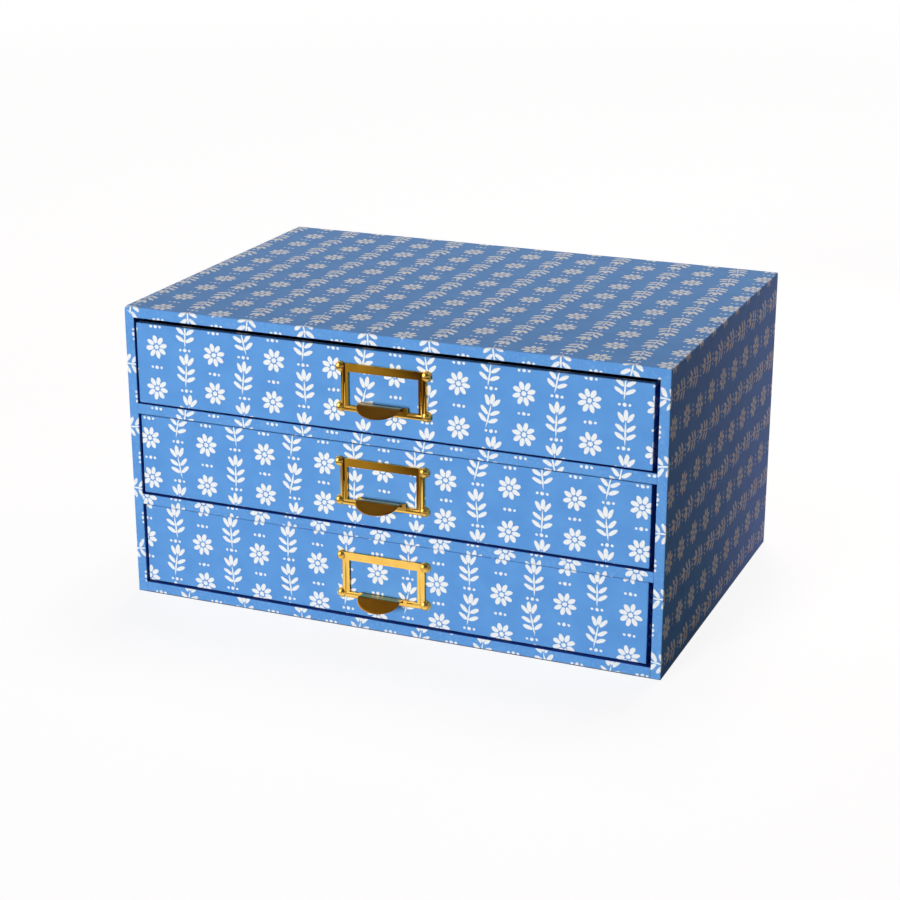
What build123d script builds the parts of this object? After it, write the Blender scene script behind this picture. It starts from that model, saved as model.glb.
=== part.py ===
"""A mini chest of drawers for a desk: a board casing covered in printed paper, with three drawers.

The origin is the centre of the underside. The front faces -Y, +X is to the right seen from the
front, and +Z is up. All sizes are in millimetres.
"""
import os

from build123d import *

os.makedirs("parts", exist_ok=True)

# Casing
casing_width = 330.0
casing_depth = 225.0
casing_height = 178.0
bay_count = 3
wall_thickness = 6.0    # a side wall with its papers
deck_thickness = 6.4    # the top, the base or a shelf with its papers
shelf_drops = (0.6, 1.2)    # how far the lower and the upper shelf sit below even spacing
back_board_thickness = 3.0
paper = 0.25
edge_radius = 0.5       # paper folded over a cut board edge
turn_in = 14.0          # how far the printed paper runs into a bay
back_margin = 15.0      # how far the printed paper runs onto the back

# Drawers, top one first
drawer_names = ("top_drawer", "middle_drawer", "bottom_drawer")
drawer_recesses = (1.2, 2.3, 2.6)     # how far each front sits behind the casing's front edge
drawer_left_gaps = (0.6, 0.3, 0.3)    # play between each drawer and the left wall
drawer_width = 314.4
drawer_height = 48.5
drawer_depth = 218.5
drawer_lift = 0.5       # running clearance over the shelf
front_thickness = 4.5
side_thickness = 3.0
bottom_thickness = 3.0
front_turn = 15.0       # how far the printed paper of the front runs along a drawer's sides
front_lap = 12.0        # how far it laps down behind the front

# Card holder with its finger tab, pressed from one brass sheet
holder_width = 52.0
holder_height = 28.2
holder_shifts = (0.75, -0.9, -0.8)    # from the middle of each front to its holder's, top drawer first
holder_rises = (1.55, 1.45, 0.7)
bead_width = 3.4
bead_height = 2.1
bead_crown = 0.7        # the part of its height that is rounded
card_slot = 0.9
sheet = 0.7
window_width = 42.7
window_height = 19.6
window_drop = 0.6       # the window's centre below the holder's centre
lug_radius = 3.1
lug_thickness = 0.8
flange_width = 30.0
flange_rises = (2.6, 2.1, 0.65)       # how far the tab's root stands up into the window
fold_radius = 0.9
tab_leans = (10.7, 10.5, 4.7)         # degrees that the tab's root part rises above level
tab_shelf = 4.3
tab_bend = 39.0         # degrees between the tab's root part and its half-moon plate
bend_radius = 3.0
tab_chord = 25.4
tab_plate = 8.7

# Pins with ball-like heads
pin_spacing_x = 52.3
pin_spacing_z = 23.4
pin_head_radius = 2.75
pin_head_height = 2.9
pin_head_sides = 20
pin_head_chamfers = ((1.38, 1.9), (0.77, 0.99))   # inward and down, one after the other
pin_shank = 1.2
pin_length = 4.6        # under the head
pin_point = 1.6         # the length of its tapered end
pin_tip = 0.2

# Places worked out from these
half_width = casing_width / 2
half_depth = casing_depth / 2
bay_half_width = half_width - wall_thickness
deck_pitch = (casing_height - deck_thickness) / bay_count
deck_drops = (0, *shelf_drops, 0)
deck_bottoms = [level * deck_pitch - drop for level, drop in enumerate(deck_drops)]
bay_floors = [bottom + deck_thickness for bottom in deck_bottoms[:bay_count]]
bay_ceilings = deck_bottoms[1:]
board_front = -half_depth + paper
board_back = half_depth - paper
back_board_front = board_back - back_board_thickness
bay_back = back_board_front - paper
board_half_width = bay_half_width + paper
window_bottom = -window_drop - window_height / 2


def front_view(y):
    """The plane of a front view at depth y. Its extrusions run to the front, or to the back if negative."""
    return Plane.XZ.offset(-y)


def strip(x, y, z, mode=Mode.ADD):
    """A block between two planes on each axis."""
    with BuildSketch(front_view(y[0])) as section:
        with Locations((sum(x) / 2, sum(z) / 2)):
            Rectangle(x[1] - x[0], z[1] - z[0])
    extrude(section.sketch, amount=y[0] - y[1], mode=mode)


def edges_through(piece, axis, *places):
    """The edges of a piece along one axis that run through the given places."""
    points = [Vector(*place) for place in places]
    return [
        edge
        for edge in piece.edges().filter_by(axis)
        if any(edge.distance_to(point) < 1e-3 for point in points)
    ]


def save(piece, name):
    """Labels a finished piece and writes its STEP file."""
    piece.part.label = name
    export_step(piece.part, f"parts/{name}.step")


# Casing boards
for side, name in ((-1, "case_left_board"), (1, "case_right_board")):
    inner, outer = side * board_half_width, side * (half_width - paper)
    with BuildPart() as side_board:
        strip(sorted((inner, outer)), (board_front, board_back), (paper, casing_height - paper))
    save(side_board, name)

deck_names = ("case_bottom_board", "shelf_lower_board", "shelf_upper_board", "case_top_board")
for bottom, name in zip(deck_bottoms, deck_names):
    deck_back = back_board_front if name.startswith("shelf") else board_back
    with BuildPart() as deck_board:
        strip(
            (-board_half_width, board_half_width),
            (board_front, deck_back),
            (bottom + paper, bottom + deck_thickness - paper),
        )
    save(deck_board, name)

with BuildPart() as case_back_board:
    strip(
        (-board_half_width, board_half_width),
        (back_board_front, board_back),
        (deck_thickness - paper, casing_height - deck_thickness + paper),
    )
save(case_back_board, "case_back_board")

# Printed cover paper: sides and top, folded round the front and back edges and into the bays
mouth_top = casing_height - deck_thickness
turned = (-half_depth, turn_in - half_depth)
behind_edges = (board_front, turn_in - half_depth)
back_opening = ((back_margin - half_width, half_width - back_margin), (paper, casing_height - back_margin))
with BuildPart() as case_cover_paper:
    strip((-half_width, half_width), (-half_depth, half_depth), (paper, casing_height))
    rim = case_cover_paper.edges().filter_by(Axis.Z)
    rim += case_cover_paper.edges().group_by(Axis.Z)[-1]
    fillet(rim, edge_radius)
    strip((-bay_half_width, bay_half_width), turned, (paper, mouth_top), mode=Mode.SUBTRACT)
    mouth = edges_through(case_cover_paper.part, Axis.X, (0, -half_depth, mouth_top))
    for side in (-1, 1):
        low_corner = (side * bay_half_width, -half_depth, deck_pitch)
        mouth += edges_through(case_cover_paper.part, Axis.Z, low_corner)
    fillet(mouth, edge_radius)
    # the room of the boards
    inner = (paper - half_width, half_width - paper)
    strip(inner, (turned[1], board_back), (paper, casing_height - paper), mode=Mode.SUBTRACT)
    for side in (-1, 1):
        across = sorted((side * board_half_width, side * (half_width - paper)))
        strip(across, behind_edges, (paper, casing_height - paper), mode=Mode.SUBTRACT)
    for bottom in deck_bottoms:
        across = (-board_half_width, board_half_width)
        strip(across, behind_edges, (bottom + paper, bottom + deck_thickness - paper), mode=Mode.SUBTRACT)
    strip(back_opening[0], (board_back, half_depth), back_opening[1], mode=Mode.SUBTRACT)
save(case_cover_paper, "case_cover_paper")

# Printed strips round the front edges of the base and the shelves
edge_names = ("base_edge_paper", "shelf_lower_edge_paper", "shelf_upper_edge_paper")
for bottom, name in zip(deck_bottoms, edge_names):
    low = max(bottom, paper)
    high = bottom + deck_thickness
    is_shelf = bottom > 0
    with BuildPart() as edge_paper:
        strip((-bay_half_width, bay_half_width), (-half_depth, turn_in - half_depth), (low, high))
        front_edges = edge_paper.edges().filter_by(Axis.X).group_by(Axis.Y)[0]
        fillet(front_edges if is_shelf else front_edges.sort_by(Axis.Z)[-1:], edge_radius)
        strip(
            (-bay_half_width, bay_half_width),
            (board_front, turn_in - half_depth),
            (bottom + paper, high - paper),
            mode=Mode.SUBTRACT,
        )
    save(edge_paper, name)

# Plain papers: one lining in each bay, one on the back and one under the base
lining_names = ("lower_bay_lining", "middle_bay_lining", "upper_bay_lining")
for floor, ceiling, name in zip(bay_floors, bay_ceilings, lining_names):
    with BuildPart() as bay_lining:
        strip(
            (-board_half_width, board_half_width),
            (turn_in - half_depth, back_board_front),
            (floor - paper, ceiling + paper),
        )
        strip(
            (-bay_half_width, bay_half_width),
            (turn_in - half_depth, bay_back),
            (floor, ceiling),
            mode=Mode.SUBTRACT,
        )
    save(bay_lining, name)

with BuildPart() as back_paper:
    strip(back_opening[0], (board_back, half_depth), back_opening[1])
save(back_paper, "back_paper")

with BuildPart() as base_paper:
    with BuildSketch(Plane.XY):
        RectangleRounded(casing_width, casing_depth, edge_radius)
    extrude(amount=paper)
save(base_paper, "base_paper")


def pin_grid():
    """The four pins of a holder, one at each corner."""
    return GridLocations(pin_spacing_x, pin_spacing_z, 2, 2)


def cut_pin_holes(face, depth):
    """Cuts the pins' square holes through the piece that is being made."""
    with BuildSketch(face) as holes:
        with pin_grid():
            Rectangle(pin_shank, pin_shank)
    extrude(holes.sketch, amount=depth, mode=Mode.SUBTRACT)


def make_tab(face, root_height, lean):
    """The finger tab: a bent strip of sheet, trimmed to a half-moon seen from above."""
    root_depth = bead_height - sheet / 2
    side_view = Plane(origin=face.origin, x_dir=face.z_dir, z_dir=-face.x_dir)
    with BuildPart() as tab:
        with BuildSketch(side_view):
            with BuildLine():
                stem = Line((root_depth, root_height - fold_radius), (root_depth, root_height))
                fold = JernArc(stem @ 1, stem % 1, fold_radius, lean - 90)
                shelf = PolarLine(fold @ 1, tab_shelf, direction=fold % 1)
                bend = JernArc(shelf @ 1, shelf % 1, bend_radius, -tab_bend)
                plate = PolarLine(bend @ 1, tab_plate, direction=bend % 1)
            trace(line_width=sheet)
        extrude(amount=tab_chord / 2, both=True)
        chord_depth = (bend @ 0.5).X
        reach = (plate @ 1).X - chord_depth
        top_view = Plane(origin=face.origin, x_dir=face.x_dir, z_dir=face.y_dir)
        with BuildSketch(top_view.offset(-holder_height)):
            with Locations((0, -chord_depth)):
                Ellipse(tab_chord / 2, reach)
                Rectangle(tab_chord, 2 * holder_height, align=(Align.CENTER, Align.MIN))
        extrude(amount=2 * holder_height, mode=Mode.INTERSECT)
    return tab


def make_holder(face, flange_rise, lean):
    """The pressed card holder: a raised bead round three sides, a card slot, a window and the tab."""
    bead_x = (holder_width - bead_width) / 2
    bead_z = (holder_height - bead_width) / 2
    top = holder_height / 2
    flange_top = window_bottom + flange_rise
    fold_notch = fold_radius + sheet / 2
    tab = make_tab(face, flange_top - fold_notch, lean)
    with BuildPart() as holder:
        with BuildLine(face) as route:
            Polyline((-bead_x, top), (-bead_x, -bead_z), (bead_x, -bead_z), (bead_x, top))
        path = route.wires()[0]
        with BuildSketch(Plane(origin=path @ 0, x_dir=face.x_dir, z_dir=path % 0)):
            half = bead_width / 2
            shoulder = bead_height - bead_crown
            with BuildLine():
                Polyline((-half, shoulder), (-half, 0), (half, 0), (half, shoulder))
                ThreePointArc((half, shoulder), (0, bead_height), (-half, shoulder))
            make_face()
        sweep(path=path, transition=Transition.RIGHT)
        with BuildSketch(face.offset(card_slot)):
            with Locations((0, bead_width / 4)):
                Rectangle(holder_width - bead_width, holder_height - bead_width / 2)
            with Locations((0, -window_drop)):
                Rectangle(window_width, window_height, mode=Mode.SUBTRACT)
        extrude(amount=sheet)
        with BuildSketch(face.offset(bead_height - sheet)):
            with Locations((0, -bead_z)):
                Rectangle(flange_width, flange_top + bead_z, align=(Align.CENTER, Align.MIN))
            with Locations((0, flange_top)):
                Rectangle(tab_chord, fold_notch, align=(Align.CENTER, Align.MAX), mode=Mode.SUBTRACT)
        extrude(amount=sheet)
        add(tab.part)
        with BuildSketch(face):
            with pin_grid():
                Circle(lug_radius)
        extrude(amount=lug_thickness)
        with BuildSketch(face.offset(lug_thickness)):
            with pin_grid():
                Circle(pin_head_radius + paper)
        extrude(amount=pin_head_height, mode=Mode.SUBTRACT)
        cut_pin_holes(face, lug_thickness)
    return holder


def make_pin():
    """A pin with a ball-like head on the XY plane and a square shank down to its point."""
    with BuildPart() as pin:
        with BuildSketch():
            RegularPolygon(pin_head_radius, pin_head_sides)
        extrude(amount=pin_head_height)
        for inward, down in pin_head_chamfers:
            crown = pin.faces().sort_by(Axis.Z)[-1]
            chamfer(crown.edges(), inward, down, reference=crown)
        with BuildSketch():
            Rectangle(pin_shank, pin_shank)
        extrude(amount=-pin_length)
        tip = pin.faces().sort_by(Axis.Z)[0]
        chamfer(tip.edges(), (pin_shank - pin_tip) / 2, pin_point, reference=tip)
    return pin


def make_pins(face):
    """Four pins, driven through the holder's lugs into the front board."""
    pin = make_pin()
    with BuildPart() as pins:
        with Locations(face.offset(lug_thickness)):
            with pin_grid():
                add(pin.part)
    return pins


def make_drawer(name, bay_floor, recess, left_gap, holder_shift, holder_rise, flange_rise, tab_lean):
    """One drawer: a tray of five boards, its papers, the card holder and the pins."""
    left = left_gap - bay_half_width
    right = left + drawer_width
    front = recess - half_depth
    back = front + drawer_depth
    low = bay_floor + drawer_lift
    high = low + drawer_height
    inside_x = (left + side_thickness, right - side_thickness)
    inside_y = (front + front_thickness, back - side_thickness)
    inside_floor = low + bottom_thickness
    face = Plane(
        origin=((left + right) / 2 + holder_shift, front, (low + high) / 2 + holder_rise),
        x_dir=(1, 0, 0),
        z_dir=(0, -1, 0),
    )

    board_z = (low + paper, high - paper)
    with BuildPart() as front_board:
        strip((left + paper, right - paper), (front + paper, inside_y[0] - paper), board_z)
        cut_pin_holes(face, lug_thickness - pin_length)
    save(front_board, f"{name}_front_board")

    side_y = (inside_y[0] - paper, back - paper)
    with BuildPart() as left_board:
        strip((left + paper, inside_x[0] - paper), side_y, board_z)
    save(left_board, f"{name}_left_board")
    with BuildPart() as right_board:
        strip((inside_x[1] + paper, right - paper), side_y, board_z)
    save(right_board, f"{name}_right_board")

    between = (inside_x[0] - paper, inside_x[1] + paper)
    with BuildPart() as back_board:
        strip(between, (inside_y[1] + paper, back - paper), board_z)
    save(back_board, f"{name}_back_board")
    with BuildPart() as bottom_board:
        strip(between, (inside_y[0] - paper, inside_y[1] + paper), (low + paper, inside_floor - paper))
    save(bottom_board, f"{name}_bottom_board")

    def make_cover():
        """The whole outer skin of the tray, over its rim as far as the inside faces."""
        with BuildPart() as cover:
            strip((left, right), (front, back), (low, high))
            edges = cover.edges()
            fillet(edges.group_by(Axis.Y)[0] + edges.filter_by(Axis.Z).group_by(Axis.Y)[-1], edge_radius)
            strip(
                (left + paper, right - paper),
                (front + paper, back - paper),
                (low + paper, high - paper),
                mode=Mode.SUBTRACT,
            )
            strip(inside_x, inside_y, (high - paper, high), mode=Mode.SUBTRACT)
        return cover

    split_y = front + front_turn
    with BuildPart() as front_paper:
        add(make_cover().part)
        strip((left, right), (split_y, back), (low, high), mode=Mode.SUBTRACT)
        strip(inside_x, (inside_y[0] - paper, inside_y[0]), (high - front_lap, high))
        cut_pin_holes(face, lug_thickness - pin_length)
    save(front_paper, f"{name}_front_paper")
    with BuildPart() as cover_paper:
        add(make_cover().part)
        strip((left, right), (front, split_y), (low, high), mode=Mode.SUBTRACT)
    save(cover_paper, f"{name}_cover_paper")

    with BuildPart() as lining:
        strip(between, (inside_y[0] - paper, inside_y[1] + paper), (inside_floor - paper, high - paper))
        strip(inside_x, inside_y, (inside_floor, high - paper), mode=Mode.SUBTRACT)
        lap_y = (inside_y[0] - paper, inside_y[0])
        strip(inside_x, lap_y, (high - front_lap, high - paper), mode=Mode.SUBTRACT)
    save(lining, f"{name}_lining")

    save(make_holder(face, flange_rise, tab_lean), f"{name}_card_holder")
    save(make_pins(face), f"{name}_pins")


for drawer in zip(
    drawer_names,
    reversed(bay_floors),
    drawer_recesses,
    drawer_left_gaps,
    holder_shifts,
    holder_rises,
    flange_rises,
    tab_leans,
):
    make_drawer(*drawer)
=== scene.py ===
"""The looks of the mini chest of drawers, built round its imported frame.

Lengths are in metres, in the frame's own axes: the front faces -Y, +X is to the right, +Z is up.
"""
import math

import bmesh
import bpy
from mathutils import Euler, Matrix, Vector


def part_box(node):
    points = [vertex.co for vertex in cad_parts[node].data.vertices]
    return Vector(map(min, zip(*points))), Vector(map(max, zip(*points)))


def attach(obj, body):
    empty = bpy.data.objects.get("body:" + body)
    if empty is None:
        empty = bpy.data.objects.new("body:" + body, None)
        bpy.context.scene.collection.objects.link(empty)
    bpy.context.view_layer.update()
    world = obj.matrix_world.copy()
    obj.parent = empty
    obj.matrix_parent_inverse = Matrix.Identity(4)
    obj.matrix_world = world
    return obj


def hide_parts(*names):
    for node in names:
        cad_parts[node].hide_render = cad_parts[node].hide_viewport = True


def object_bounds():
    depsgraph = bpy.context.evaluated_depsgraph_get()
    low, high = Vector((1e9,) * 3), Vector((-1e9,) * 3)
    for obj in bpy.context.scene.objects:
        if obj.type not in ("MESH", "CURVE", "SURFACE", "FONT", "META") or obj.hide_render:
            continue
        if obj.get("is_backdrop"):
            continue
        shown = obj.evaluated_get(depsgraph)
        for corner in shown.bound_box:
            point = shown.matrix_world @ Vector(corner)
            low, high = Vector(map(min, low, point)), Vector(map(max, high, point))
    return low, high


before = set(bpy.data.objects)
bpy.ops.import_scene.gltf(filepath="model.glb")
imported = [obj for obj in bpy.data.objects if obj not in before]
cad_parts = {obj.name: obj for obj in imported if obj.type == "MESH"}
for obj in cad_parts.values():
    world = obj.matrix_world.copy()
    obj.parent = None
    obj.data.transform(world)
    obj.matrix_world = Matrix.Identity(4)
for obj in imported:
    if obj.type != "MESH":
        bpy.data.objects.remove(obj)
cad_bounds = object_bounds()

MM = 0.001
drawers = ("top_drawer", "middle_drawer", "bottom_drawer")

# Papers
paper_thickness = 0.22 * MM
fold_radius = 0.6 * MM        # paper folded over a cut board edge
turn_in = 14.0 * MM           # printed paper inside a bay
back_margin = 15.0 * MM       # printed paper on the back
front_turn = 15.0 * MM        # a front's paper along the drawer's sides
front_lap = 12.0 * MM         # and down behind the front's top
front_board = 4.5 * MM
side_board = 3.0 * MM
rim_lap = 6.0 * MM            # plain paper down the inside of a drawer's rim
under_lap = 0.12 * MM         # the plain paper lies under the printed one
paper_step = 20.0 * MM        # the longest step of a sheet's mesh
paper_weld = 0.01 * MM        # points nearer than this are joined
paper_crease = 40.0           # degrees from which an edge is sharp
fold_steps = 4                # steps of mesh round a fold

# Card holder, as it is pressed
holder_width = 52.0 * MM
holder_height = 28.2 * MM
bead_width = 3.4 * MM
bead_height = 2.1 * MM
bead_crown = 1.1 * MM         # the part of its height that is rounded
card_slot = 0.9 * MM
brass_thickness = 0.7 * MM
window_width = 42.7 * MM
window_height = 19.6 * MM
window_drop = 0.6 * MM
lug_radius = 3.1 * MM
lug_thickness = 0.8 * MM
brass_edge = 0.15 * MM        # how far a pressed edge is rounded
brass_weld = 0.001 * MM
brass_crease = 32.0

# Finger tab: a leaning shelf bent down to a half-moon plate
flange_width = 30.0 * MM
flange_rises = {"top_drawer": 2.6 * MM, "middle_drawer": 2.1 * MM, "bottom_drawer": 0.65 * MM}
tab_leans = {"top_drawer": 10.7, "middle_drawer": 10.5, "bottom_drawer": 4.7}   # degrees above level
tab_fold = 0.9 * MM
tab_shelf = 4.3 * MM
tab_bend = math.radians(39)
bend_radius = 3.0 * MM
tab_plate = 8.66 * MM
tab_chord = 25.4 * MM

# Pins
pin_head_radius = 2.75 * MM
pin_head_height = 2.9 * MM

# Camera, from the casing's corners in the photo
camera_place = (0.45214, -1.09771, 0.48528)
camera_yaw = math.radians(22.711)
camera_pitch = math.radians(19.023)
camera_lens = 81.785
film_width = 36.0


def tone(red, green, blue):
    """A colour as a picture shows it, from 0 to 255, as the light that it stands for."""
    shares = [value / 255 for value in (red, green, blue)]
    return tuple(s / 12.92 if s < 0.04045 else ((s + 0.055) / 1.055) ** 2.4 for s in shares) + (1.0,)


class Graph:
    """A node tree, with a short call for each kind of node."""

    def __init__(self, tree):
        self.tree = tree

    def put(self, socket, value):
        """Links a socket to another one, or sets its value."""
        if isinstance(value, bpy.types.NodeSocket):
            self.tree.links.new(value, socket)
        else:
            socket.default_value = value

    def add(self, kind, inputs=None, **settings):
        """A node with its settings and its named inputs."""
        node = self.tree.nodes.new(kind)
        for key, value in settings.items():
            setattr(node, key, value)
        for key, value in (inputs or {}).items():
            self.put(node.inputs[key], value)
        return node

    def feed(self, node, values):
        """Gives a node its inputs in their order."""
        for socket, value in zip(node.inputs, values):
            self.put(socket, value)
        return node.outputs

    def math(self, operation, *values):
        return self.feed(self.add("ShaderNodeMath", operation=operation), values)[0]

    def vector(self, operation, *values):
        outputs = self.feed(self.add("ShaderNodeVectorMath", operation=operation), values)
        return outputs["Value" if operation in ("LENGTH", "DOT_PRODUCT") else "Vector"]

    def join(self, x, y):
        return self.add("ShaderNodeCombineXYZ", {"X": x, "Y": y}).outputs[0]

    def split(self, vector):
        return self.add("ShaderNodeSeparateXYZ", {"Vector": vector}).outputs

    def noise(self, vector, scale, detail=2.0, output="Fac"):
        inputs = {"Vector": vector, "Scale": scale, "Detail": detail}
        return self.add("ShaderNodeTexNoise", inputs).outputs[output]

    def range(self, value, low, high, to_low=0.0, to_high=1.0):
        inputs = {"Value": value, "From Min": low, "From Max": high, "To Min": to_low, "To Max": to_high}
        return self.add("ShaderNodeMapRange", inputs).outputs[0]

    def mottle(self, place, scale, detail, low, high, most=1.0):
        """Soft spots of noise: 0 where it is under low, and most where it is over high."""
        return self.range(self.noise(place, scale, detail), low, high, 0.0, most)

    def blend(self, share, first, second):
        """A mix of two colours, by the numbers of the sockets that a mix has for colours."""
        node = self.add("ShaderNodeMix", data_type="RGBA")
        for number, value in ((0, share), (6, first), (7, second)):
            self.put(node.inputs[number], value)
        return node.outputs[2]

    def bump(self, height, distance, normal=None):
        inputs = {"Height": height, "Distance": distance}
        if normal is not None:
            inputs["Normal"] = normal
        return self.add("ShaderNodeBump", inputs).outputs[0]

    def stored(self, name):
        """A number that the mesh stores for each of its points."""
        return self.add("ShaderNodeAttribute", attribute_name=name).outputs["Fac"]

    def object_place(self):
        """The place on the object, in metres."""
        return self.add("ShaderNodeTexCoord").outputs["Object"]

    def object_place_mm(self):
        """The place on the object, in millimetres."""
        return self.vector("MULTIPLY", self.object_place(), (1 / MM, 1 / MM, 1 / MM))


def new_material(name):
    """A material with its shader, and the graph to fill in."""
    material = bpy.data.materials.new(name)
    material.use_nodes = True
    graph = Graph(material.node_tree)
    return material, graph, material.node_tree.nodes["Principled BSDF"]


# Print: rosettes and tulips in a half-drop, in millimetres on the flat sheet
column_pitch = 19.0
row_pitch = 24.5
petal_count = 8
petal_ring = 4.5
petal_size = (2.45, 1.38)
eye_radius = 1.4
tulip_single = (((0.0, 6.6), (1.35, 3.1), 0.0), ((0.0, -3.6), (0.5, 6.4), 0.0))
tulip_pairs = (
    ((2.75, 5.3), (3.1, 1.2), 58.0),
    ((3.2, -0.7), (3.1, 1.2), 38.0),
    ((3.2, -5.4), (3.1, 1.2), 32.0),
)
spacer_dots = (((0.0, 0.0), 1.05), ((2.9, 0.0), 0.8))
print_softness = 0.1
line_wobble = (0.9, 0.9, 0)   # how far a cut line strays to either side, in all
wobble_scale = 0.35
motif_stray = (1.6, 1.6, 0)   # and a whole motif
motif_lean = 0.45             # and its turn, in radians


def oval(graph, place, centre, radii, turn=0.0):
    """How far a place is from an oval's edge: below zero inside it."""
    inputs = {
        "Vector": place,
        "Location": (centre[0], centre[1], 0),
        "Rotation": (0, 0, math.radians(turn)),
        "Scale": (radii[0], radii[1], 1),
    }
    inside = graph.add("ShaderNodeMapping", inputs, vector_type="TEXTURE").outputs[0]
    reach = graph.math("SUBTRACT", graph.vector("LENGTH", inside), 1.0)
    return graph.math("MULTIPLY", reach, min(radii))


def nearest(graph, distances):
    """The smallest of several distances."""
    smallest = distances[0]
    for distance in distances[1:]:
        smallest = graph.math("MINIMUM", smallest, distance)
    return smallest


def rosette(graph, place):
    """A ring of petals round an eye."""
    sector = 2 * math.pi / petal_count
    x, y, _ = graph.split(place)
    reach = graph.vector("LENGTH", place)
    turn = graph.math("FLOORED_MODULO", graph.math("ARCTAN2", y, x), sector)
    turn = graph.math("SUBTRACT", turn, sector / 2)
    spoke = graph.join(
        graph.math("MULTIPLY", reach, graph.math("COSINE", turn)),
        graph.math("MULTIPLY", reach, graph.math("SINE", turn)),
    )
    eye = graph.math("SUBTRACT", reach, eye_radius)
    return graph.math("MINIMUM", eye, oval(graph, spoke, (petal_ring, 0), petal_size))


def tulip(graph, place):
    """A bud on a stem, with petals and leaves in pairs."""
    x, y, _ = graph.split(place)
    mirrored = graph.join(graph.math("ABSOLUTE", x), y)
    shapes = [oval(graph, place, *shape) for shape in tulip_single]
    shapes += [oval(graph, mirrored, *shape) for shape in tulip_pairs]
    return nearest(graph, shapes)


def stray(graph, chances, size):
    """An offset to either side, from three chances between 0 and 1."""
    return graph.vector("MULTIPLY", graph.vector("SUBTRACT", chances, (0.5, 0.5, 0.5)), size)


def from_middle(graph, position, pitch):
    """How far a position, counted in cells, is from the middle of its cell."""
    share = graph.math("SUBTRACT", graph.math("FRACT", position), 0.5)
    return graph.math("MULTIPLY", share, pitch)


def print_ink(graph, place):
    """Where the ink is, from 0 to 1, for a place on the flat sheet in millimetres."""
    wobble = graph.noise(place, wobble_scale, output="Color")
    place = graph.vector("ADD", place, stray(graph, wobble, line_wobble))
    x, y, _ = graph.split(place)
    column = graph.math("DIVIDE", x, column_pitch)
    number = graph.math("FLOOR", column)
    odd = graph.math("FLOORED_MODULO", number, 2.0)
    # odd columns are moved by half a row
    row = graph.math("ADD", graph.math("DIVIDE", y, row_pitch), graph.math("MULTIPLY", odd, 0.5))
    across = from_middle(graph, column, column_pitch)
    up = from_middle(graph, row, row_pitch)
    # each motif stands a little off its place and turned, as cut by hand
    cell = graph.join(number, graph.math("FLOOR", row))
    chances = graph.add("ShaderNodeTexWhiteNoise", {"Vector": cell}).outputs["Color"]
    motif_place = graph.vector("ADD", graph.join(across, up), stray(graph, chances, motif_stray))
    lean = graph.math("MULTIPLY", graph.math("SUBTRACT", graph.split(chances)[2], 0.5), motif_lean)
    inputs = {"Vector": motif_place, "Angle": lean}
    motif_place = graph.add("ShaderNodeVectorRotate", inputs, rotation_type="Z_AXIS").outputs[0]
    # rosettes in the even columns, and tulips in the odd ones
    even_motif = rosette(graph, motif_place)
    odd_motif = tulip(graph, motif_place)
    step = graph.math("SUBTRACT", odd_motif, even_motif)
    motif = graph.math("ADD", even_motif, graph.math("MULTIPLY", step, odd))
    # small dots between the motifs of a column
    from_edge = graph.math("SUBTRACT", row_pitch / 2, graph.math("ABSOLUTE", up))
    dot_place = graph.join(graph.math("ABSOLUTE", across), from_edge)
    dots = [oval(graph, dot_place, centre, (radius, radius)) for centre, radius in spacer_dots]
    edge = nearest(graph, [motif, *dots])
    return graph.range(edge, -print_softness, print_softness, 1.0, 0.0)


# Finish of the papers and the board
paper_blue = tone(103, 162, 226)
paper_deep = tone(97, 156, 221)
ink_white = tone(246, 247, 246)
ink_thin = tone(220, 228, 238)
bare_fibre = tone(150, 190, 232)
printed_gloss = 0.04
blue_roughness = 0.33
ink_roughness = 0.45
fibre_relief = 0.5            # shares of the print's bump
ink_relief = 0.35
fold_sharpness = 8.0          # keeps the rubbing off the flat sheet beside a fold
lining_blue = tone(30, 48, 98)
lining_deep = tone(24, 40, 86)
# painted shade over the print inside the bays
bay_shade_blue = tone(36, 66, 142)
lining_gloss = 0.3
lining_roughness = (0.6, 0.75)
board_grey = tone(158, 148, 132)
board_fleck = tone(118, 108, 96)
board_roughness = 0.9


def printed_paper():
    """Satin paper, printed white on blue."""
    material, graph, shader = new_material("printed_paper")
    flat = graph.add("ShaderNodeUVMap", uv_map="print").outputs[0]
    place = graph.vector("MULTIPLY", flat, (1 / MM, 1 / MM, 0))
    ink = print_ink(graph, place)
    cloud = graph.mottle(place, scale=0.06, detail=3.0, low=0.35, high=0.65)
    blue = graph.blend(cloud, paper_blue, paper_deep)
    thin = graph.mottle(place, scale=1.1, detail=3.0, low=0.56, high=0.74, most=0.6)
    white = graph.blend(thin, ink_white, ink_thin)
    colour = graph.blend(ink, blue, white)
    # folds rub a little paler
    rub = graph.mottle(place, scale=0.5, detail=4.0, low=0.5, high=0.72, most=0.35)
    edge = graph.math("POWER", graph.stored("fold"), fold_sharpness)
    colour = graph.blend(graph.math("MULTIPLY", edge, rub), colour, bare_fibre)
    # inside the bays the print is painted over in dark blue, a painted shade for the recesses
    colour = graph.blend(graph.stored("painted_bay_shade"), colour, bay_shade_blue)
    # the fibres and the ink stand up, on a sheet that isn't quite flat
    fibre = graph.noise(graph.vector("MULTIPLY", place, (1.0, 3.0, 0)), scale=1.6, detail=4.0)
    raised_fibre = graph.math("MULTIPLY", fibre, fibre_relief)
    raised_ink = graph.math("MULTIPLY", ink, ink_relief)
    normal = graph.bump(graph.math("ADD", raised_fibre, raised_ink), distance=0.02 * MM)
    swell = graph.noise(place, scale=0.03)
    graph.put(shader.inputs["Base Color"], colour)
    graph.put(shader.inputs["Roughness"], graph.range(ink, 0.0, 1.0, blue_roughness, ink_roughness))
    graph.put(shader.inputs["Normal"], graph.bump(swell, distance=0.15 * MM, normal=normal))
    shader.inputs["Specular IOR Level"].default_value = printed_gloss
    return material


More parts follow.
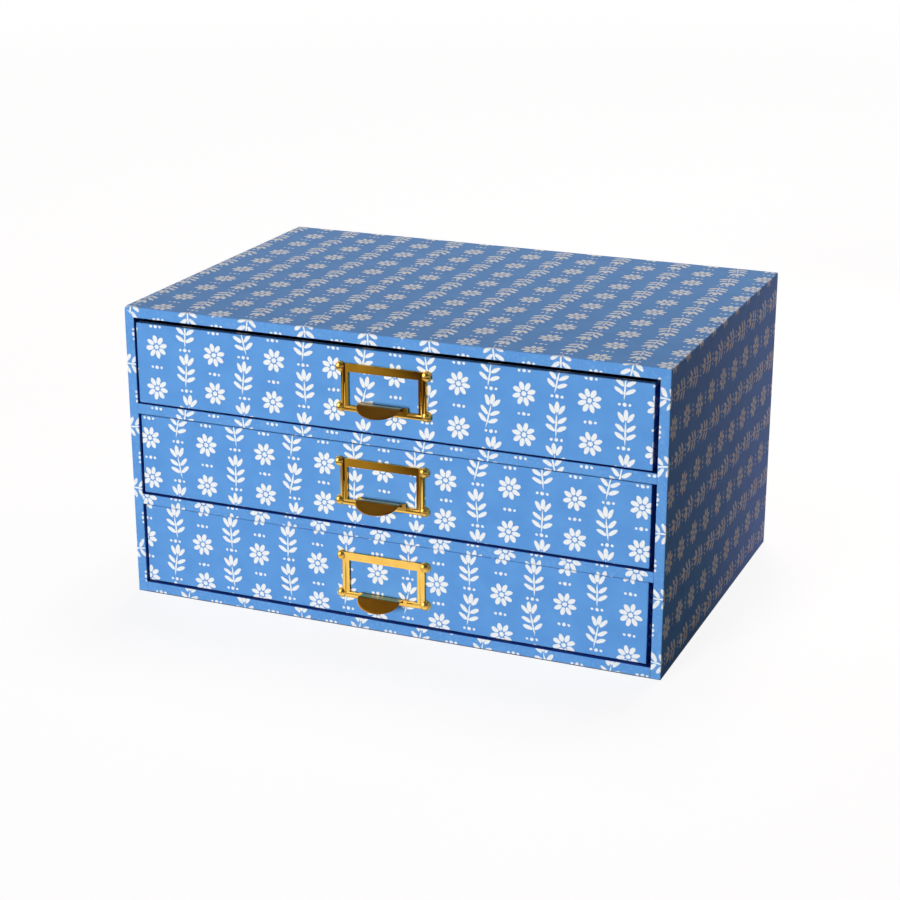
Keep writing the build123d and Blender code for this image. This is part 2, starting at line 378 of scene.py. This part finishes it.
def plain_paper():
    """Dark blue paper, unprinted."""
    material, graph, shader = new_material("plain_paper")
    place = graph.object_place_mm()
    cloud = graph.mottle(place, scale=0.08, detail=3.0, low=0.35, high=0.65)
    fibre = graph.noise(place, scale=1.8, detail=4.0)
    graph.put(shader.inputs["Base Color"], graph.blend(cloud, lining_blue, lining_deep))
    graph.put(shader.inputs["Roughness"], graph.range(fibre, 0.3, 0.7, *lining_roughness))
    graph.put(shader.inputs["Normal"], graph.bump(fibre, distance=0.03 * MM))
    shader.inputs["Specular IOR Level"].default_value = lining_gloss
    return material


def grey_board():
    """Grey board with flecks of pulp."""
    material, graph, shader = new_material("grey_board")
    place = graph.object_place_mm()
    fleck = graph.mottle(place, scale=0.9, detail=4.0, low=0.5, high=0.72)
    grain = graph.noise(place, scale=2.5, detail=3.0)
    graph.put(shader.inputs["Base Color"], graph.blend(fleck, board_grey, board_fleck))
    graph.put(shader.inputs["Normal"], graph.bump(grain, distance=0.05 * MM))
    shader.inputs["Roughness"].default_value = board_roughness
    return material


# Finish of the brass. Fingers dull a tab, and all of the tab but the top of its shelf is also painted
# darker, a painted shade for the dark room that it mirrors.
brass_bright = (0.88, 0.55, 0.13, 1)
brass_warm = (0.82, 0.48, 0.09, 1)
brass_dark = (0.42, 0.21, 0.03, 1)
# painted shade on the tab's plate
brass_painted_shade = (0.35, 0.155, 0.013, 1)
holder_roughness = 0.07
pin_roughness = 0.27
handled_roughness = 0.3
cloud_roughness = 0.05        # added where the brass is warmest
tab_dulled = 0.5
# where the tab's painted shade is full
tab_painted_shade = 1.0


def brass(name, roughness):
    """Pressed brass: fine rolling lines, stains, duller where fingers touch it, and painted darker on the
    tab's plate as painted shade.
    """
    material, graph, shader = new_material(name)
    place = graph.object_place_mm()
    cloud = graph.mottle(place, scale=0.12, detail=3.0, low=0.35, high=0.7)
    lines = graph.noise(graph.vector("MULTIPLY", place, (0.15, 5.0, 5.0)), scale=1.0, detail=3.0)
    stain = graph.mottle(place, scale=0.6, detail=5.0, low=0.62, high=0.82, most=0.3)
    colour = graph.blend(cloud, brass_bright, brass_warm)
    colour = graph.blend(stain, colour, brass_dark)
    handled_and_shaded = graph.stored("handled_and_shaded")
    # the tab's plate is painted darker: painted shade, standing in for a dark reflection
    colour = graph.blend(graph.range(handled_and_shaded, tab_dulled, tab_painted_shade), colour, brass_painted_shade)
    dull = graph.range(handled_and_shaded, 0.0, tab_dulled, roughness, handled_roughness)
    rougher = graph.math("MULTIPLY", cloud, cloud_roughness)
    graph.put(shader.inputs["Base Color"], colour)
    graph.put(shader.inputs["Roughness"], graph.math("ADD", dull, rougher))
    graph.put(shader.inputs["Normal"], graph.bump(lines, distance=0.003 * MM))
    shader.inputs["Metallic"].default_value = 1.0
    return material


materials = {
    "printed_paper": printed_paper(),
    "plain_paper": plain_paper(),
    "board": grey_board(),
    "holder_brass": brass("holder_brass", holder_roughness),
    "pin_brass": brass("pin_brass", pin_roughness),
}


def new_object(name, data):
    """An object in the scene."""
    thing = bpy.data.objects.new(name, data)
    bpy.context.scene.collection.objects.link(thing)
    return thing


def mesh_object(name, mesh):
    """An object in the scene, made of a mesh that isn't needed after it."""
    data = bpy.data.meshes.new(name)
    mesh.to_mesh(data)
    mesh.free()
    return new_object(name, data)


def make_piece(name, mesh, slot, body, node, crease):
    """Turns a mesh into a piece that rides on a body and stands for a node."""
    piece = mesh_object(name, mesh)
    piece.data.shade_smooth()
    piece.data.set_sharp_from_angle(angle=math.radians(crease))
    piece.data.materials.append(materials[slot])
    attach(piece, body)
    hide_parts(node)
    return piece


def keep_faces_flat(piece):
    """Gives flat faces an even light right up to their rounded edges."""
    piece.modifiers.new("flat_faces", "WEIGHTED_NORMAL").keep_sharp = True


class Sheet:
    """A sheet of paper in grid patches. Its print coordinates run flat across its folds."""

    def __init__(self):
        self.mesh = bmesh.new()
        self.flat = self.mesh.loops.layers.uv.new("print")
        self.fold = self.mesh.verts.layers.float.new("fold")
        # where the print is painted over in dark blue as shade inside the bays
        self.painted_bay_shade = self.mesh.verts.layers.float.new("painted_bay_shade")

    def patch(self, rows):
        """Adds a grid of points, each a place, its place on the flat sheet, and its fold."""
        grid = []
        for row in rows:
            vertices = []
            for place, _, fold in row:
                vertex = self.mesh.verts.new(place)
                vertex[self.fold] = fold
                vertices.append(vertex)
            grid.append(vertices)
        for i in range(len(rows) - 1):
            for j in range(len(rows[0]) - 1):
                cell = ((i, j), (i + 1, j), (i + 1, j + 1), (i, j + 1))
                face = self.mesh.faces.new([grid[a][b] for a, b in cell])
                for loop, (a, b) in zip(face.loops, cell):
                    loop[self.flat].uv = rows[a][b][1]

    def done(self, name, centre, slot, body, node):
        """Joins the patches, turns them outward from the centre and gives them a thickness."""
        faces = self.mesh.faces
        bmesh.ops.remove_doubles(self.mesh, verts=self.mesh.verts, dist=paper_weld)
        bmesh.ops.recalc_face_normals(self.mesh, faces=faces)
        facing = sum(f.calc_area() * f.normal.dot(f.calc_center_median() - centre) for f in faces)
        if facing < 0:
            bmesh.ops.reverse_faces(self.mesh, faces=faces)
        piece = make_piece(name, self.mesh, slot, body, node, paper_crease)
        thickness = piece.modifiers.new("thickness", "SOLIDIFY")
        thickness.thickness = paper_thickness
        thickness.offset = -1
        keep_faces_flat(piece)


def steps_along(length):
    """How many even steps a sheet takes along a length."""
    return max(1, math.ceil(length / paper_step))


def flat_grid(low, high, columns, rows):
    """Points of a flat rectangle in even steps, a column at a time."""
    size = Vector(high) - Vector(low)
    return [
        [Vector(low) + Vector((size.x * column / columns, size.y * row / rows)) for row in range(rows + 1)]
        for column in range(columns + 1)
    ]


def folded_line(*corners):
    """Points along a line with a fold at each inner corner.

    Each point is its place, how far along the line it is, and its fold: 1 on a fold and 0 beside it.
    """
    corners = [Vector(corner) for corner in corners]
    points = [(corners[0], 0.0)]
    for before, corner, after in zip(corners, corners[1:], corners[2:]):
        into = (corner - before).normalized()
        out = (after - corner).normalized()
        centre = corner + (out - into) * fold_radius
        for step in range(fold_steps + 1):
            turn = math.pi / 2 * step / fold_steps
            arc_point = centre + (into * math.sin(turn) - out * math.cos(turn)) * fold_radius
            points.append((arc_point, 1.0))
    points.append((corners[-1], 0.0))
    line = [(points[0][0], 0.0, points[0][1])]
    for point, fold in points[1:]:
        start, along, _ = line[-1]
        gap = (point - start).length
        pieces = steps_along(gap)
        for piece in range(1, pieces):
            line.append((start.lerp(point, piece / pieces), along + gap * piece / pieces, 0.0))
        line.append((point, along + gap, fold))
    return line


def border_patches(corners, section, reach, closed=False):
    """Grids of a sheet folded along a line of right-angle turns.

    The line turns clockwise, with its outer side on the left. A section point is (outward, depth), how
    far along the section it is, and its fold. Beyond reach the corners are round. Each grid point is its
    place in the line's plane, its depth, its run, its outward direction, how far along, and its fold.
    """
    corners = [Vector(corner) for corner in corners]
    count = len(corners) if closed else len(corners) - 1
    outer = max(point.x for point, _, _ in section)
    arc = (outer - reach) * math.pi / 2
    run = 0.0
    for index in range(count):
        start = corners[index]
        end = corners[(index + 1) % len(corners)]
        direction = (end - start).normalized()
        outward = Vector((-direction.y, direction.x))
        length = (end - start).length
        starts_turned = closed or index > 0
        ends_turned = closed or index < count - 1
        pieces = steps_along(length)
        grid = []
        for piece in range(pieces + 1):
            row = []
            for point, along, fold in section:
                mitre = min(point.x, reach)
                low = -mitre if starts_turned else 0.0
                high = length + mitre if ends_turned else length
                step = low + (high - low) * piece / pieces
                place = start + direction * step + outward * point.x
                row.append((place, point.y, run + step, outward, along, fold))
            grid.append(row)
        yield grid
        if not ends_turned:
            continue
        grid = []
        for step in range(fold_steps + 1):
            turn = math.pi / 2 * step / fold_steps
            bent = outward * math.cos(turn) + direction * math.sin(turn)
            round_run = run + length + reach + arc * step / fold_steps
            row = []
            for point, along, _ in section:
                mitre = min(point.x, reach)
                place = end + (outward + direction) * mitre + bent * (point.x - mitre)
                row.append((place, point.y, round_run, bent, along, 1.0))
            grid.append(row)
        yield grid
        run += length + 2 * reach + arc


# The casing's sizes, from the frame
case_low, case_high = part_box("case_cover_paper")
shelf_low, shelf_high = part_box("shelf_upper_edge_paper")
case_front = case_low.y
case_centre = (case_low + case_high) / 2
bay_half_width = shelf_high.x
wall = case_high.x - bay_half_width
deck = shelf_high.z - shelf_low.z


def shade_bays(sheet):
    """Marks what lies inside the bays, where dark blue is painted over the print as painted shade."""
    for vertex in sheet.mesh.verts:
        x, y, z = vertex.co
        in_mouth = abs(x) < bay_half_width + under_lap and z < case_high.z - deck + under_lap
        in_bay = case_front + fold_radius / 2 < y < case_front + 2 * turn_in
        vertex[sheet.painted_bay_shade] = float(in_mouth and in_bay)


def wrap_case():
    """The printed sheet over both sides and the top, folded round the front and the back.

    It is laid out as if the top were as thin as the walls, and then eased down to the top's thickness.
    """
    extra = deck - wall
    corner_top = case_high.z - wall
    start = case_low.z + extra
    section = folded_line(
        (wall - back_margin, case_high.y),
        (wall, case_high.y),
        (wall, case_front),
        (0, case_front),
        (0, case_front + turn_in),
    )
    mouth = (
        (-bay_half_width, start),
        (-bay_half_width, corner_top),
        (bay_half_width, corner_top),
        (bay_half_width, start),
    )
    cover = Sheet()
    for grid in border_patches(mouth, section, wall - fold_radius):
        rows = []
        for row in grid:
            points = []
            for place, depth, run, _, along, fold in row:
                share = min(1.0, (case_high.z - place.y) / wall)
                eased = Vector((place.x, depth, place.y - extra * share))
                points.append((eased, (run, along), fold))
            rows.append(points)
        cover.patch(rows)
    shade_bays(cover)
    cover.done("case_cover", case_centre, "printed_paper", "casing", "case_cover_paper")


def wrap_edge(name, flat_start):
    """A printed strip round the front edge of a shelf or of the base."""
    low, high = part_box(f"{name}_paper")
    section = folded_line(
        (case_front + turn_in, low.z),
        (case_front, low.z),
        (case_front, high.z),
        (case_front + turn_in, high.z),
    )
    pieces = steps_along(high.x - low.x)
    rows = []
    for piece in range(pieces + 1):
        x = low.x + (high.x - low.x) * piece / pieces
        rows.append([
            (Vector((x, point.x, point.y)), (x + flat_start[0], along + flat_start[1]), fold)
            for point, along, fold in section
        ])
    strip = Sheet()
    strip.patch(rows)
    shade_bays(strip)
    strip.done(name, (low + high) / 2, "printed_paper", "casing", f"{name}_paper")


def unrolled(place, outward, depth, along):
    """Where a point of a front's folded border lies on the flat sheet."""
    root = place - outward * min(depth, fold_radius)
    return root + outward * along


def wrap_front(drawer, flat_start):
    """The printed sheet on a drawer front, folded along the sides and down behind the top."""
    low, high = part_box(f"{drawer}_front_paper")
    inner_low = (low.x + fold_radius, low.z + fold_radius)
    inner_high = (high.x - fold_radius, high.z - fold_radius)
    start = Vector(flat_start)
    sheet = Sheet()
    columns = steps_along(inner_high[0] - inner_low[0])
    rows = steps_along(inner_high[1] - inner_low[1])
    sheet.patch([
        [(Vector((x, low.y, z)), start + Vector((x, z)), 0.0) for x, z in line]
        for line in flat_grid(inner_low, inner_high, columns, rows)
    ])
    side_section = folded_line(
        (0, low.y),
        (fold_radius, low.y),
        (fold_radius, low.y + front_turn),
    )
    top_section = folded_line(
        (0, low.y),
        (fold_radius, low.y),
        (fold_radius, low.y + front_board),
        (fold_radius - front_lap, low.y + front_board),
    )
    outline = (
        (inner_low[0], inner_low[1]),
        (inner_low[0], inner_high[1]),
        (inner_high[0], inner_high[1]),
        (inner_high[0], inner_low[1]),
    )
    # the grids go up the left side, round its corner and then along the top
    top_run = 2
    grids = list(border_patches(outline, side_section, 0.0, closed=True))
    grids[top_run] = list(border_patches(outline, top_section, 0.0, closed=True))[top_run]
    for grid in grids:
        rows = []
        for row in grid:
            points = []
            for place, depth, _, outward, along, fold in row:
                flat = start + unrolled(place, outward, depth - low.y, along)
                points.append((Vector((place.x, depth, place.y)), flat, fold))
            rows.append(points)
        sheet.patch(rows)
    sheet.done(f"{drawer}_print", (low + high) / 2, "printed_paper", drawer, f"{drawer}_front_paper")


def wrap_tray(drawer):
    """The plain paper round the rest of a drawer, over its rim and under its bottom."""
    low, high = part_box(f"{drawer}_cover_paper")
    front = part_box(f"{drawer}_front_paper")[0].y + front_board
    underside = low.z + under_lap
    section = folded_line(
        (-side_board, high.z - rim_lap),
        (-side_board, high.z),
        (-under_lap, high.z),
        (-under_lap, underside),
        (-side_board, underside),
    )
    outline = ((low.x, front), (low.x, high.y), (high.x, high.y), (high.x, front))
    cover = Sheet()
    for grid in border_patches(outline, section, -fold_radius - under_lap):
        rows = []
        for row in grid:
            rows.append([
                (Vector((place.x, place.y, depth)), (run, along), fold)
                for place, depth, run, _, along, fold in row
            ])
        cover.patch(rows)
    # the middle of the bottom, in the same steps as the border round it
    middle = flat_grid(
        (low.x + side_board, front),
        (high.x - side_board, high.y - side_board),
        steps_along(high.x - low.x),
        steps_along(high.y - front),
    )
    cover.patch([[(Vector((x, y, underside)), (x, y), 0.0) for x, y in line] for line in middle])
    cover.done(f"{drawer}_cover", (low + high) / 2, "plain_paper", drawer, f"{drawer}_cover_paper")


def add_rings(mesh, rings, joined=False):
    """Joins rings of points with faces, each to the next, and the last to the first if they are joined."""
    grid = [[mesh.verts.new(point) for point in ring] for ring in rings]
    ring_pairs = list(zip(grid, grid[1:]))
    if joined:
        ring_pairs.append((grid[-1], grid[0]))
    for first, second in ring_pairs:
        count = len(first)
        for i in range(count):
            j = (i + 1) % count
            mesh.faces.new((first[i], first[j], second[j], second[i]))
    return grid


def add_bead(mesh):
    """The raised bead round the two sides and the bottom, mitred under the lower lugs."""
    x = (holder_width - bead_width) / 2
    z = (holder_height - bead_width) / 2
    top = holder_height / 2
    half = bead_width / 2
    shoulder = bead_height - bead_crown
    section = [(-half, 0.0)]
    steps = 14
    for step in range(steps + 1):
        turn = math.pi * step / steps
        section.append((-half * math.cos(turn), shoulder + bead_crown * math.sin(turn)))
    section.append((half, 0.0))
    # each place of the path, with the direction in which the section crosses it there
    path = (
        ((-x, top), (1, 0)),
        ((-x, -z), (1, 1)),
        ((x, -z), (-1, 1)),
        ((x, top), (-1, 0)),
    )
    rings = []
    for place, inward in path:
        rings.append([
            Vector((place[0] + inward[0] * across, out, place[1] + inward[1] * across))
            for across, out in section
        ])
    grid = add_rings(mesh, rings)
    for end in (grid[0], grid[-1]):
        mesh.faces.new(end)


def add_frame(mesh):
    """The flat sheet round the window, with its cut edges a little rounded."""
    half = window_width / 2
    inner = (half, -window_drop - window_height / 2, -window_drop + window_height / 2)
    outer = ((holder_width - bead_width) / 2, -holder_height / 2 + bead_width / 2, holder_height / 2)
    front = card_slot + brass_thickness
    soft = brass_edge
    mid_edge = brass_edge * 0.3   # how far the middle of a rounded edge stands in
    section = (
        (inner, 0.0, card_slot),
        (inner, 0.0, front - soft),
        (inner, mid_edge, front - mid_edge),
        (inner, soft, front),
        (outer, -soft, front),
        (outer, -mid_edge, front - mid_edge),
        (outer, 0.0, front - soft),
        (outer, 0.0, card_slot),
    )
    rings = []
    for (half_width, bottom, top), grow, out in section:
        x = half_width + grow
        low = bottom - grow
        high = top + grow
        rings.append([
            Vector((-x, out, low)),
            Vector((x, out, low)),
            Vector((x, out, high)),
            Vector((-x, out, high)),
        ])
    add_rings(mesh, rings, joined=True)


def add_plate(mesh, outline, near, far):
    """A flat plate with a soft front edge, from its outline seen from the front."""
    back = [mesh.verts.new(Vector((x, near, z))) for x, z in outline]
    front = [mesh.verts.new(Vector((x, far, z))) for x, z in outline]
    mesh.faces.new(back)
    face = mesh.faces.new(front)
    for i in range(len(outline)):
        j = (i + 1) % len(outline)
        mesh.faces.new((back[i], back[j], front[j], front[i]))
    edges = list(face.edges)
    bmesh.ops.bevel(mesh, geom=edges, offset=brass_edge, segments=3, profile=0.5, affect="EDGES")


def circle(centre, radius, count=32):
    """Points round a circle."""
    turns = [2 * math.pi * i / count for i in range(count)]
    return [(centre[0] + radius * math.cos(turn), centre[1] + radius * math.sin(turn)) for turn in turns]


def add_flange(mesh, flange_top):
    """The plate that carries the tab, with an ear at each side of the fold."""
    outer = flange_width / 2
    notch = tab_chord / 2
    bottom = -(holder_height - bead_width) / 2
    root = flange_top - tab_fold - brass_thickness / 2
    outline = (
        (-outer, bottom),
        (outer, bottom),
        (outer, flange_top),
        (notch, flange_top),
        (notch, root),
        (-notch, root),
        (-notch, flange_top),
        (-outer, flange_top),
    )
    add_plate(mesh, outline, bead_height - brass_thickness, bead_height)


def bend_strip(places, radius, start, turn, steps):
    """Carries a strip's side view round a bend. Each place is its depth, its height and its direction."""
    depth, height, _ = places[-1]
    way = math.copysign(radius, turn)
    for step in range(1, steps + 1):
        now = start + turn * step / steps
        places.append((
            depth + way * (math.sin(now) - math.sin(start)),
            height - way * (math.cos(now) - math.cos(start)),
            now,
        ))


def run_strip(places, length, steps=1):
    """Carries a strip's side view straight on."""
    depth, height, way = places[-1]
    for step in range(1, steps + 1):
        reach = length * step / steps
        places.append((depth + reach * math.cos(way), height + reach * math.sin(way), way))


def add_tab(mesh, flange_top, lean):
    """The tab: it folds out of the flange, leans up a little and bends down as a half-moon plate."""
    half = brass_thickness / 2
    upright = math.pi / 2
    half_bend = bend_radius * tab_bend / 2
    root_depth = bead_height - half
    root_height = flange_top - tab_fold - half
    root_steps, bend_steps, plate_steps, rim_steps = 8, 5, 6, 4
    columns = 56
    # the rounded rim takes up the last of the plate
    plate_length = tab_plate + half_bend - half
    rings = []
    for column in range(columns + 1):
        across = math.sin(math.pi * (column / columns - 0.5))
        share = math.sqrt(max(0.0, 1 - across * across))
        places = [(root_depth, root_height - tab_fold, upright), (root_depth, root_height, upright)]
        bend_strip(places, tab_fold, upright, lean - upright, root_steps)
        run_strip(places, tab_shelf)
        shelf_end = len(places) - 1
        bend_strip(places, bend_radius, lean, -tab_bend / 2, bend_steps)
        # the plate and its half of the bend are cut to the half-moon
        length = plate_length * share
        curved = min(length, half_bend)
        bend_strip(places, bend_radius, lean - tab_bend / 2, -curved / bend_radius, bend_steps)
        run_strip(places, length - curved, plate_steps)
        x = across * tab_chord / 2
        upper = [Vector((x, d - half * math.sin(way), z + half * math.cos(way))) for d, z, way in places]
        lower = [Vector((x, d + half * math.sin(way), z - half * math.cos(way))) for d, z, way in places]
        depth, height, way = places[-1]
        tip = Vector((x, depth, height))
        ahead = Vector((across, share * math.cos(way), share * math.sin(way))).normalized()
        normal = Vector((0, -math.sin(way), math.cos(way)))
        rim = []
        for step in range(1, rim_steps):
            lift = upright - math.pi * step / rim_steps
            rim.append(tip + (normal * math.sin(lift) + ahead * math.cos(lift)) * half)
        rings.append(upper + rim + lower[::-1])
    grid = add_rings(mesh, rings)
    for end in (grid[0], grid[-1]):
        mesh.faces.new(end)
    # the shelf is only dulled; the plate is dulled and also painted darker as painted shade
    handled_and_shaded = mesh.verts.layers.float["handled_and_shaded"]
    for ring in grid:
        for index, vertex in enumerate(ring):
            vertex[handled_and_shaded] = tab_dulled if index <= shelf_end else tab_painted_shade


def add_dome(mesh, centre, radius, near, height):
    """A pin's domed head."""
    steps = 8
    count = 28
    dome_radius = (radius**2 + height**2) / (2 * height)
    widest = math.asin(min(1.0, radius / dome_radius))
    if height > dome_radius:
        widest = math.pi - widest
    rings = []
    for step in range(steps):
        turn = widest * (1 - step / steps)
        ring_radius = dome_radius * math.sin(turn)
        out = near + height - dome_radius * (1 - math.cos(turn))
        rings.append([Vector((x, out, z)) for x, z in circle(centre, ring_radius, count)])
    grid = add_rings(mesh, rings)
    mesh.faces.new(grid[0])
    crown = mesh.verts.new(Vector((centre[0], near + height, centre[1])))
    last = grid[-1]
    for i in range(count):
        mesh.faces.new((last[i], last[(i + 1) % count], crown))


def fit_holder(drawer):
    """The card holder and its four pins, on the face of a drawer."""
    low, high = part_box(f"{drawer}_pins")
    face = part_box(f"{drawer}_front_paper")[0].y
    centre = (low + high) / 2
    spread_x = (high.x - low.x) / 2 - pin_head_radius
    spread_z = (high.z - low.z) / 2 - pin_head_radius
    corners = [(sx * spread_x, sz * spread_z) for sx in (-1, 1) for sz in (-1, 1)]

    holder = bmesh.new()
    holder.verts.layers.float.new("handled_and_shaded")
    add_bead(holder)
    add_frame(holder)
    flange_top = flange_rises[drawer] - window_drop - window_height / 2
    add_flange(holder, flange_top)
    add_tab(holder, flange_top, math.radians(tab_leans[drawer]))
    for corner in corners:
        add_plate(holder, circle(corner, lug_radius), 0.0, lug_thickness)
    pins = bmesh.new()
    for corner in corners:
        add_dome(pins, corner, pin_head_radius, lug_thickness, pin_head_height)

    for mesh, part, slot in ((holder, "card_holder", "holder_brass"), (pins, "pins", "pin_brass")):
        bmesh.ops.remove_doubles(mesh, verts=mesh.verts, dist=brass_weld)
        for vertex in mesh.verts:
            x, out, z = vertex.co
            vertex.co = Vector((centre.x + x, face - out, centre.z + z))
        bmesh.ops.recalc_face_normals(mesh, faces=mesh.faces)
        node = f"{drawer}_{part}"
        keep_faces_flat(make_piece(f"{node}_brass", mesh, slot, drawer, node, brass_crease))


# Where each piece starts on the printed sheet, so that the pieces' prints don't line up
edge_starts = {
    "shelf_upper_edge": (4.0 * MM, 6.0 * MM),
    "shelf_lower_edge": (13.0 * MM, 17.0 * MM),
    "base_edge": (7.0 * MM, 10.0 * MM),
}
front_starts = {
    "top_drawer": (3.0 * MM, 4.0 * MM),
    "middle_drawer": (11.0 * MM, 12.0 * MM),
    "bottom_drawer": (16.0 * MM, 2.0 * MM),
}

wrap_case()
for edge, flat_start in edge_starts.items():
    wrap_edge(edge, flat_start)
for drawer in drawers:
    wrap_front(drawer, front_starts[drawer])
    wrap_tray(drawer)
    fit_holder(drawer)

# The frame's own pieces that stay, each with the finish of its slot
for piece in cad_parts.values():
    piece.data.materials[0] = materials[piece.data.materials[0].name]


# Floor, which glows to the camera a little less near the object than far out
floor_reach = 12.0
floor_pale = (0.26, 0.245, 0.235, 1)
floor_glow = (0.86, 0.98)
glow_reach = (0.5, 3.0)

# What reflections see in its place: a dim floor that is bright round the object's front
mirrored_matt = (0.03, 0.02, 0.015, 1)
mirrored_far = (0.03, 0.014, 0.004, 1)
mirrored_near = (1.1, 1.1, 1.1, 1)
near_centre = (0.0, -0.12, 0.0)
near_reach = (0.13, 0.22)

# A warm patch, between a slanting line at its right and a straight edge at its left
mirrored_patch = (0.4, 0.33, 0.12, 1)
patch_across = (-2.16, 1.0, 0.0)
patch_reach = (-0.19, -0.06)
patch_left = (-0.38, -0.28)

# To the object's right the floor is dim, with a cool patch behind another slanting line
beside_reach = (0.1, 0.16)
mirrored_behind = (0.6, 0.5, 1.1, 1)
behind_across = (-3.83, 1.0, 0.0)
behind_reach = (-0.68, -0.5)

# World: the light that matt surfaces get, and what the camera and reflections see, from the horizon up
ambient = (0.045, 0.03, 0.028, 1)
horizon = (1, 1, 1, 1)
ceiling = (0.09, 0.08, 0.07, 1)
ceiling_height = (0.18, 0.36)   # the sine of its angle where it starts, and where it is full


def seen_directly(graph):
    """1 for rays that show the background: to the camera, or in a reflection or through glass."""
    rays = graph.add("ShaderNodeLightPath").outputs
    seen = graph.math("MAXIMUM", rays["Is Camera Ray"], rays["Is Glossy Ray"])
    return graph.math("MAXIMUM", seen, rays["Is Transmission Ray"])


def mirrored_floor(graph, place):
    """The floor's glow as reflections see it, standing in for a room."""
    x = graph.split(place)[0]
    from_centre = graph.vector("LENGTH", graph.vector("SUBTRACT", place, near_centre))
    near = graph.range(from_centre, *near_reach, 1.0, 0.0)
    across = graph.vector("DOT_PRODUCT", place, patch_across)
    patch = graph.math("MULTIPLY", graph.range(across, *patch_reach), graph.range(x, *patch_left))
    ahead = graph.blend(patch, mirrored_far, mirrored_patch)
    ahead = graph.blend(near, ahead, mirrored_near)
    behind = graph.range(graph.vector("DOT_PRODUCT", place, behind_across), *behind_reach)
    beside = graph.blend(behind, mirrored_far, mirrored_behind)
    return graph.blend(graph.range(x, *beside_reach), ahead, beside)


def add_floor():
    """A plain pale floor that stays near white round the object and keeps its shadow."""
    mesh = bmesh.new()
    bmesh.ops.create_grid(mesh, x_segments=1, y_segments=1, size=floor_reach)
    floor = mesh_object("floor", mesh)
    material, graph, _ = new_material("floor")
    graph.tree.nodes.clear()
    place = graph.object_place()
    mirrored = graph.add("ShaderNodeLightPath").outputs["Is Glossy Ray"]
    open_glow = graph.range(graph.vector("LENGTH", place), *glow_reach, *floor_glow)
    shown = graph.blend(mirrored, open_glow, mirrored_floor(graph, place))
    colour = graph.blend(mirrored, floor_pale, mirrored_matt)
    matt = graph.add("ShaderNodeBsdfDiffuse", {"Color": colour})
    glow = graph.add("ShaderNodeEmission", {"Color": shown, "Strength": seen_directly(graph)})
    both = graph.add("ShaderNodeAddShader")
    graph.put(both.inputs[0], matt.outputs[0])
    graph.put(both.inputs[1], glow.outputs[0])
    graph.add("ShaderNodeOutputMaterial", {"Surface": both.outputs[0]})
    floor.data.materials.append(material)
    floor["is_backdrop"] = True


def add_world():
    """Soft light all round, and a white horizon under a darker ceiling."""
    world = bpy.data.worlds.new("studio")
    bpy.context.scene.world = world
    world.use_nodes = True
    graph = Graph(world.node_tree)
    graph.tree.nodes.clear()
    height = graph.split(graph.add("ShaderNodeTexCoord").outputs["Generated"])[2]
    shown = graph.blend(graph.range(height, *ceiling_height), horizon, ceiling)
    colour = graph.blend(seen_directly(graph), ambient, shown)
    background = graph.add("ShaderNodeBackground", {"Color": colour})
    graph.add("ShaderNodeOutputWorld", {"Surface": background.outputs[0]})


def add_light(name, azimuth, elevation, distance, size, power, colour, mirrored=False, lights_matt=True):
    """A square soft light that faces the object. Azimuth 0 is in front, and to the left is below zero.

    Reflections show it if it is mirrored, and matt surfaces are lit by it unless lights_matt is off.
    """
    data = bpy.data.lights.new(name, "AREA")
    data.size = size
    data.energy = power
    data.color = colour
    light = new_object(name, data)
    turn = math.radians(azimuth)
    rise = math.radians(elevation)
    away = Vector((math.sin(turn) * math.cos(rise), -math.cos(turn) * math.cos(rise), math.sin(rise)))
    light.location = case_centre + away * distance
    light.rotation_mode = "QUATERNION"
    light.rotation_quaternion = away.to_track_quat("Z", "Y")
    light.visible_glossy = mirrored
    light.visible_diffuse = lights_matt


def add_lights():
    """A key light ahead, a soft one from above, a faint one behind, and a glint for the brass alone."""
    add_light(
        "key", azimuth=-12, elevation=6, distance=3.2, size=1.0, power=95, colour=(0.97, 1.0, 1.03),
    )
    add_light(
        "above", azimuth=180, elevation=68, distance=2.0, size=0.9, power=17.4, colour=(0.98, 0.97, 1.0),
    )
    add_light(
        "glint", azimuth=-62, elevation=30, distance=1.6, size=1.4, power=21, colour=(1.0, 0.95, 0.8),
        mirrored=True, lights_matt=False,
    )
    add_light(
        "behind", azimuth=150, elevation=12, distance=0.75, size=0.3, power=1.25, colour=(1.0, 0.87, 0.8),
    )


def add_camera():
    """The photo's view."""
    data = bpy.data.cameras.new("camera")
    data.lens = camera_lens
    data.sensor_width = film_width
    camera = new_object("camera", data)
    camera.location = camera_place
    camera.rotation_euler = Euler((math.pi / 2 - camera_pitch, 0, camera_yaw))
    bpy.context.scene.camera = camera


add_floor()
add_world()
add_lights()
add_camera()
bpy.context.scene.view_settings.view_transform = "Standard"

visual_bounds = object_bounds()
sizes = {"cad": cad_bounds, "visual": visual_bounds}
{name: [list(corner) for corner in corners] for name, corners in sizes.items()}
